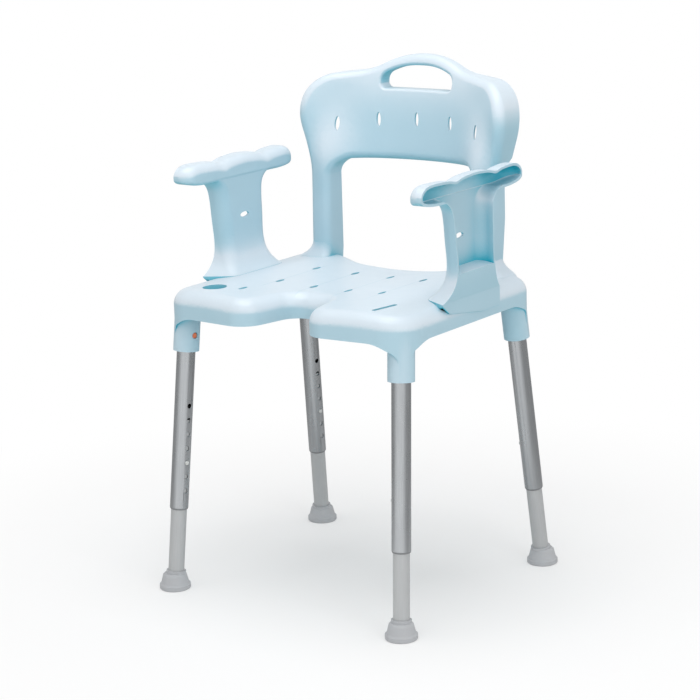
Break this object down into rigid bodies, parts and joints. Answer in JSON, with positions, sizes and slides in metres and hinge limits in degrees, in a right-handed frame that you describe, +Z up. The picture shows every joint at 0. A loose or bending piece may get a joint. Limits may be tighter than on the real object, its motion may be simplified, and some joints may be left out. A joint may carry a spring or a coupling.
{
  "type": "shower stool with arm and back supports",
  "caption": "Moulded plastic shower seat with a front recess on telescopic aluminium legs, with clip-in back support and arm supports, rubber feet and spring buttons.",
  "frame": {"origin": "on the floor, under the middle of the box round the four feet", "axes": "+Z up; the front of the seat looks towards -Y; +X is to the right of someone standing in front"},
  "size_m": [0.5376, 0.4953, 0.8895],
  "materials": {
    "polypropylene": "satin moulded",
    "anodised_aluminium": "satin anodised",
    "guide_plastic": "moulded",
    "grey_tube": "matt grey",
    "foot_rubber": "moulded rubber",
    "height_button": "moulded",
    "spring_steel": "bare",
    "lock_button": "moulded"
  },
  "bodies": {
    "chair": {"seat": "polypropylene", "back_support": "polypropylene", "arm_support_left": "polypropylene", "arm_support_right": "polypropylene", "outer_tube_front_left": "anodised_aluminium", "guide_bush_front_left": "guide_plastic", "lock_spring_front_left": "spring_steel", "outer_tube_front_right": "anodised_aluminium", "guide_bush_front_right": "guide_plastic", "lock_spring_front_right": "spring_steel", "outer_tube_rear_left": "anodised_aluminium", "guide_bush_rear_left": "guide_plastic", "lock_spring_rear_left": "spring_steel", "outer_tube_rear_right": "anodised_aluminium", "guide_bush_rear_right": "guide_plastic", "lock_spring_rear_right": "spring_steel"},
    "leg_front_left": {"inner_tube_front_left": "grey_tube", "foot_front_left": "foot_rubber", "height_spring_front_left": "spring_steel"},
    "height_button_front_left": {"height_button_front_left": "height_button"},
    "lock_button_front_left": {"lock_button_front_left": "lock_button"},
    "leg_front_right": {"inner_tube_front_right": "grey_tube", "foot_front_right": "foot_rubber", "height_spring_front_right": "spring_steel"},
    "height_button_front_right": {"height_button_front_right": "height_button"},
    "lock_button_front_right": {"lock_button_front_right": "lock_button"},
    "leg_rear_left": {"inner_tube_rear_left": "grey_tube", "foot_rear_left": "foot_rubber", "height_spring_rear_left": "spring_steel"},
    "height_button_rear_left": {"height_button_rear_left": "height_button"},
    "lock_button_rear_left": {"lock_button_rear_left": "lock_button"},
    "leg_rear_right": {"inner_tube_rear_right": "grey_tube", "foot_rear_right": "foot_rubber", "height_spring_rear_right": "spring_steel"},
    "height_button_rear_right": {"height_button_rear_right": "height_button"},
    "lock_button_rear_right": {"lock_button_rear_right": "lock_button"}
  },
  "joints": [
    {"name": "leg_height_front_left", "type": "slide", "parent": "chair", "child": "leg_front_left", "axis": [0.0378, 0.0955, 0.9947], "range_m": [-0.05, 0.1], "deforming": ["height_button_front_left", "height_spring_front_left"]},
    {"name": "height_press_front_left", "type": "slide", "parent": "leg_front_left", "child": "height_button_front_left", "axis": [-0.9794, 0.2011, 0.0179], "range_m": [0, 0.004], "stiffness_N_per_m": 3000, "springref_m": -0.0027, "deforming": ["height_spring_front_left"]},
    {"name": "lock_press_front_left", "type": "slide", "parent": "chair", "child": "lock_button_front_left", "axis": [-0.9794, 0.2011, 0.0179], "range_m": [0, 0.0056], "stiffness_N_per_m": 4500, "springref_m": -0.0033, "deforming": ["lock_spring_front_left"]},
    {"name": "leg_height_front_right", "type": "slide", "parent": "chair", "child": "leg_front_right", "axis": [-0.0378, 0.0955, 0.9947], "range_m": [-0.05, 0.1], "deforming": ["height_button_front_right", "height_spring_front_right"]},
    {"name": "height_press_front_right", "type": "slide", "parent": "leg_front_right", "child": "height_button_front_right", "axis": [0.9794, 0.2011, 0.0179], "range_m": [0, 0.004], "stiffness_N_per_m": 3000, "springref_m": -0.0027, "deforming": ["height_spring_front_right"]},
    {"name": "lock_press_front_right", "type": "slide", "parent": "chair", "child": "lock_button_front_right", "axis": [0.9794, 0.2011, 0.0179], "range_m": [0, 0.0056], "stiffness_N_per_m": 4500, "springref_m": -0.0033, "deforming": ["lock_spring_front_right"]},
    {"name": "leg_height_rear_left", "type": "slide", "parent": "chair", "child": "leg_rear_left", "axis": [0.0427, -0.1151, 0.9924], "range_m": [-0.05, 0.1], "deforming": ["height_button_rear_left", "height_spring_rear_left"]},
    {"name": "height_press_rear_left", "type": "slide", "parent": "leg_rear_left", "child": "height_button_rear_left", "axis": [-0.9792, 0.1923, 0.0644], "range_m": [0, 0.004], "stiffness_N_per_m": 3000, "springref_m": -0.0027, "deforming": ["height_spring_rear_left"]},
    {"name": "lock_press_rear_left", "type": "slide", "parent": "chair", "child": "lock_button_rear_left", "axis": [-0.9792, 0.1923, 0.0644], "range_m": [0, 0.0056], "stiffness_N_per_m": 4500, "springref_m": -0.0033, "deforming": ["lock_spring_rear_left"]},
    {"name": "leg_height_rear_right", "type": "slide", "parent": "chair", "child": "leg_rear_right", "axis": [-0.0427, -0.1151, 0.9924], "range_m": [-0.05, 0.1], "deforming": ["height_button_rear_right", "height_spring_rear_right"]},
    {"name": "height_press_rear_right", "type": "slide", "parent": "leg_rear_right", "child": "height_button_rear_right", "axis": [0.9792, 0.1923, 0.0644], "range_m": [0, 0.004], "stiffness_N_per_m": 3000, "springref_m": -0.0027, "deforming": ["height_spring_rear_right"]},
    {"name": "lock_press_rear_right", "type": "slide", "parent": "chair", "child": "lock_button_rear_right", "axis": [0.9792, 0.1923, 0.0644], "range_m": [0, 0.0056], "stiffness_N_per_m": 4500, "springref_m": -0.0033, "deforming": ["lock_spring_rear_right"]}
  ]
}
